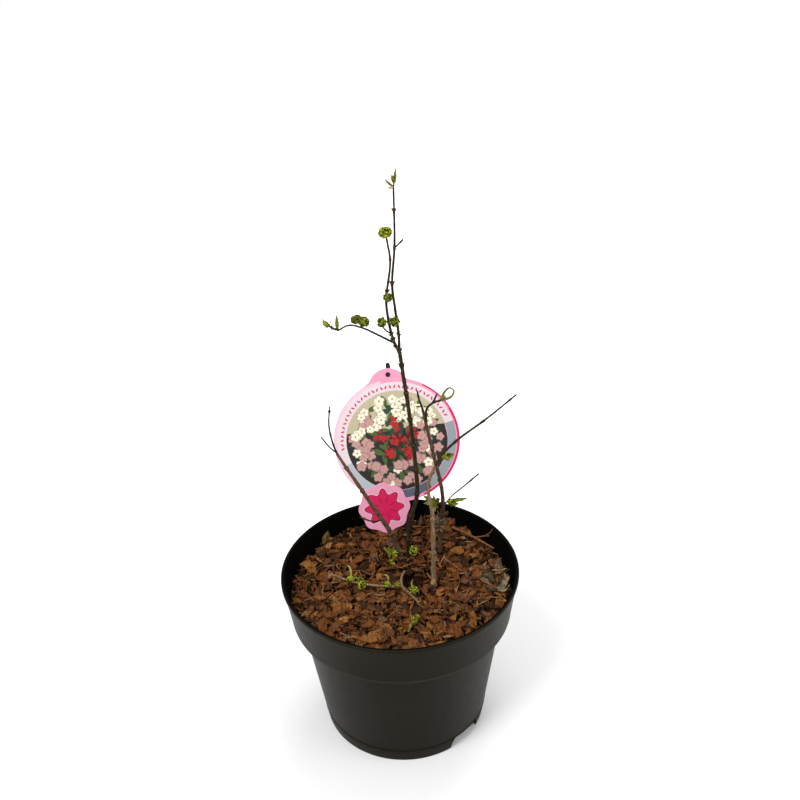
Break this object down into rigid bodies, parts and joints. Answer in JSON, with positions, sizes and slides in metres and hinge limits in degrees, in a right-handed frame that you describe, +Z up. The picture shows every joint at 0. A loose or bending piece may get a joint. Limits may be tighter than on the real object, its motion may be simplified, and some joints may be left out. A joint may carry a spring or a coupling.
{
  "type": "young snowball viburnum in a nursery pot",
  "caption": "Young shrub with thin forked stems, opposite buds and small opening leaves, standing in bark mulch in a round pot with a plant label on a stick.",
  "frame": {"origin": "middle of the pot's flat underside, on the surface the pot stands on", "axes": "+Z up along the pot's axis and the plant, +X to the right and +Y to the back as the label is read"},
  "size_m": [0.1928, 0.2214, 0.4742],
  "materials": {
    "pot_plastic": "satin dark olive charcoal moulded plastic",
    "potting_mix": "rough dark moist potting mix",
    "bark_mulch": "rough chipped bark",
    "stem_bark": "smooth grey brown young bark",
    "dead_wood": "dry weathered wood",
    "twigs_and_leaves": "fresh yellow green opening leaves",
    "bare_twigs": "thin dry twigs with buds",
    "printed_card": "printed card under a clear film",
    "stick_plastic": "plain black moulded plastic"
  },
  "bodies": {
    "root": {"pot": "pot_plastic", "potting_mix": "potting_mix", "bark_mulch": "bark_mulch", "main_stem": "stem_bark", "left_leader": "stem_bark", "right_leader": "stem_bark", "left_bough": "stem_bark", "right_bough": "stem_bark", "right_stem": "stem_bark", "low_twig": "stem_bark", "fallen_twig": "dead_wood", "left_leader_top": "twigs_and_leaves", "left_leader_middle": "twigs_and_leaves", "right_leader_top": "twigs_and_leaves", "right_leader_spur": "bare_twigs", "fork_left_tuft": "twigs_and_leaves", "fork_right_tuft": "twigs_and_leaves", "arching_twig": "twigs_and_leaves", "left_bough_tips": "bare_twigs", "left_bough_spurs": "bare_twigs", "right_bough_left_tip": "bare_twigs", "right_bough_right_tip": "twigs_and_leaves", "long_right_twig": "twigs_and_leaves", "low_right_spray": "twigs_and_leaves", "low_left_spray": "twigs_and_leaves", "dry_spur": "bare_twigs", "main_stem_foot_tuft": "twigs_and_leaves", "foot_sprouts": "twigs_and_leaves", "low_twig_sprouts": "twigs_and_leaves", "low_twig_right_tuft": "twigs_and_leaves", "lone_sprout": "twigs_and_leaves", "label_card": "printed_card", "label_stick": "stick_plastic"}
  },
  "joints": []
}
